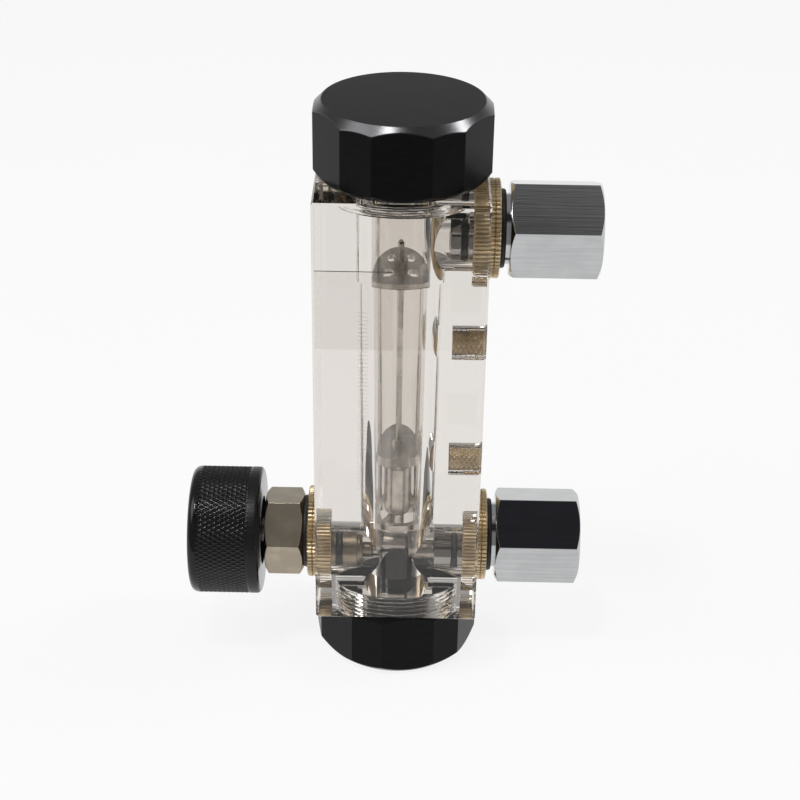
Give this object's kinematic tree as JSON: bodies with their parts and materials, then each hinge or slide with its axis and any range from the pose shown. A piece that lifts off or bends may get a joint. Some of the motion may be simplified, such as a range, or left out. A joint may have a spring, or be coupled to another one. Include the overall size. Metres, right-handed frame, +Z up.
{
  "type": "rotameter",
  "caption": "Clear block flow meter with a float on a guide rod, screw caps, hexagon pipe couplings on one side and a needle valve with a knurled knob.",
  "frame": {"origin": "centre of the bottom cap's flat underside", "axes": "+Z up along the tube, +X towards the pipe ports, -X towards the valve knob, -Y towards the scale"},
  "size_m": [0.1234, 0.0514, 0.184],
  "materials": {
    "acrylic": "clear polished acrylic",
    "scale": "clear plate with pale printed lines",
    "black_cap": "satin black anodised",
    "black_knob": "black anodised, knurled",
    "brass": "knurled brass",
    "chrome": "chrome plated, brushed flats",
    "nickel": "nickel plated, satin",
    "steel": "turned stainless steel",
    "rubber": "black rubber"
  },
  "bodies": {
    "meter": {"body_block": "acrylic", "scale_plate": "scale", "top_cap": "black_cap", "bottom_cap": "black_cap", "outlet_insert": "brass", "inlet_insert": "brass", "valve_insert": "brass", "lower_mount_insert": "brass", "upper_mount_insert": "brass", "outlet_fitting": "chrome", "inlet_fitting": "chrome", "valve_bonnet": "nickel", "valve_seat": "steel", "stop_plate": "steel", "stop_hub": "steel", "rod_nut": "steel", "guide_rod": "steel", "lower_guide": "steel", "outlet_washer": "rubber", "inlet_washer": "rubber", "valve_washer": "rubber", "top_cap_seal": "rubber", "bottom_cap_seal": "rubber", "outlet_o_ring": "rubber", "inlet_o_ring": "rubber", "bonnet_o_ring": "rubber", "stem_o_ring": "rubber"},
    "float": {"metering_float": "steel"},
    "spindle": {"valve_needle": "steel"},
    "knob": {"valve_knob": "black_knob", "knob_screw": "steel"}
  },
  "joints": [
    {"name": "float_lift", "type": "slide", "parent": "meter", "child": "float", "axis": [0, 0, 1], "range_m": [0, 0.051]},
    {"name": "spindle_travel", "type": "slide", "parent": "meter", "child": "spindle", "axis": [-1, 0, 0], "range_m": [0, 0.003]},
    {"name": "knob_turn", "type": "hinge", "parent": "spindle", "child": "knob", "pos_m": [-0.05, 0, 0.038], "axis": [-1, 0, 0], "range_deg": [0, 1080]}
  ],
  "couplings": [
    {"joint": "knob_turn", "follows": "spindle_travel", "rad_per_m": 6283.2}
  ]
}
